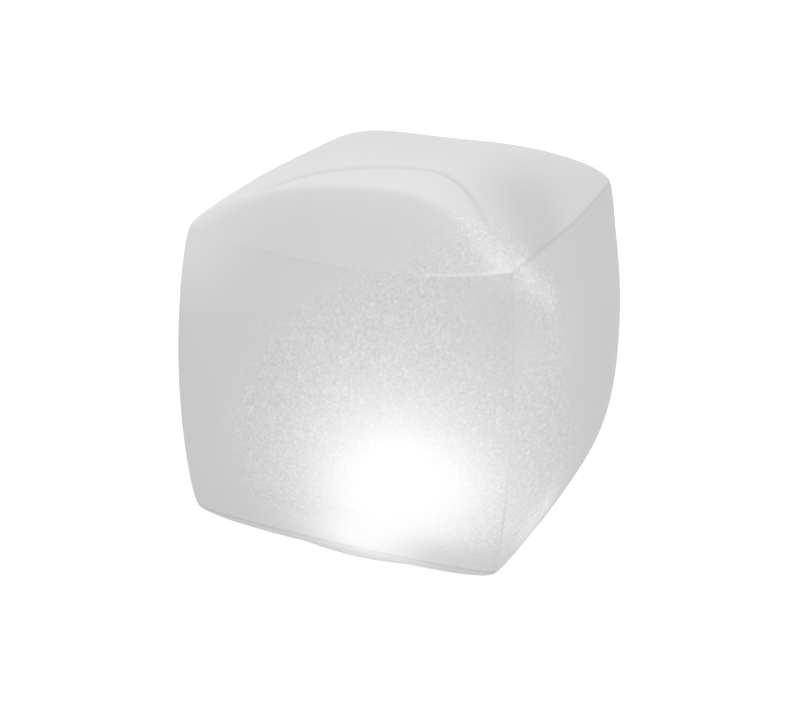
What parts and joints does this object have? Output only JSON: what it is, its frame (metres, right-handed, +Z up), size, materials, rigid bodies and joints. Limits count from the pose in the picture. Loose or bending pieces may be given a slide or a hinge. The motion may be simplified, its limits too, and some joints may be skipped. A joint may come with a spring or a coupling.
{
  "type": "floating pool light",
  "caption": "Air-filled cube of frosted film with swollen panels and a sealed battery lamp in its base, with an air valve, a screwed battery door and a push button.",
  "frame": {"origin": "centre of the lamp's flat base face, which the light stands on", "axes": "+Z up through the dome lens, -Y towards the front panel, +X towards the right panel; the air valve is on the +Y panel"},
  "size_m": [0.2338, 0.2367, 0.2294],
  "materials": {
    "film": "frosted translucent vinyl film, satin",
    "soft_vinyl": "clear-white soft vinyl moulding",
    "white_abs": "satin moulded plastic",
    "frosted_lens": "frosted translucent plastic",
    "reflector_white": "glossy white",
    "seal_rubber": "matt",
    "button_rubber": "soft matt",
    "board": "solder-masked laminate",
    "led": "lamp package with a resin window",
    "black_resin": "moulded package",
    "nickel": "nickel-plated spring steel",
    "screw_steel": "zinc-plated",
    "can": "drawn can",
    "cell_wrap": "printed sleeve with bare ends",
    "lead_red": "wire insulation",
    "lead_black": "wire insulation"
  },
  "bodies": {
    "root": {"front_panel": "film", "back_panel": "film", "left_panel": "film", "right_panel": "film", "top_panel": "film", "bottom_panel": "film", "valve_flange": "soft_vinyl", "module_collar": "soft_vinyl", "module_housing": "white_abs", "dome_lens": "frosted_lens", "lens_seal": "seal_rubber", "reflector": "reflector_white", "led_board": "board", "led_packages": "led", "controller_chip": "black_resin", "chip_resistors": "black_resin", "storage_capacitor": "can", "board_screws": "screw_steel", "battery_tray": "white_abs", "battery_cells": "cell_wrap", "battery_springs": "nickel", "battery_contacts": "nickel", "positive_lead": "lead_red", "negative_lead": "lead_black", "door_gasket": "seal_rubber", "button_seal": "seal_rubber", "button_retainer": "white_abs", "retainer_screws": "screw_steel", "tact_switch_body": "black_resin"},
    "valve_stem": {"valve_stem": "soft_vinyl", "valve_strap": "soft_vinyl"},
    "valve_plug": {"valve_plug": "soft_vinyl"},
    "valve_flap": {"valve_flap": "soft_vinyl"},
    "battery_door": {"battery_door": "white_abs", "door_screws": "screw_steel"},
    "power_button": {"power_button": "button_rubber"},
    "switch_plunger": {"tact_switch_plunger": "black_resin"}
  },
  "joints": [
    {"name": "valve_stem_pull", "type": "slide", "parent": "root", "child": "valve_stem", "axis": [0, 1, 0], "range_m": [0, 0.007]},
    {"name": "valve_plug_hinge", "type": "hinge", "parent": "valve_stem", "child": "valve_plug", "pos_m": [0.0285, 0.11679, 0.14875], "axis": [0, 0, 1], "range_deg": [0, 120]},
    {"name": "valve_flap_hinge", "type": "hinge", "parent": "valve_stem", "child": "valve_flap", "pos_m": [0.0442, 0.10129, 0.14875], "axis": [0, 0, 1], "range_deg": [0, 30], "stiffness_Nm_per_rad": 0.002},
    {"name": "battery_door_off", "type": "slide", "parent": "root", "child": "battery_door", "axis": [0, 0, -1], "range_m": [0, 0.03]},
    {"name": "power_button_press", "type": "slide", "parent": "root", "child": "power_button", "axis": [0, 0, 1], "range_m": [0, 0.0005], "stiffness_N_per_m": 2500, "springref_m": -0.0004},
    {"name": "switch_plunger_press", "type": "slide", "parent": "root", "child": "switch_plunger", "axis": [0, 0, 1], "range_m": [0, 0.0005]}
  ],
  "couplings": [
    {"joint": "switch_plunger_press", "follows": "power_button_press", "ratio": 1}
  ]
}
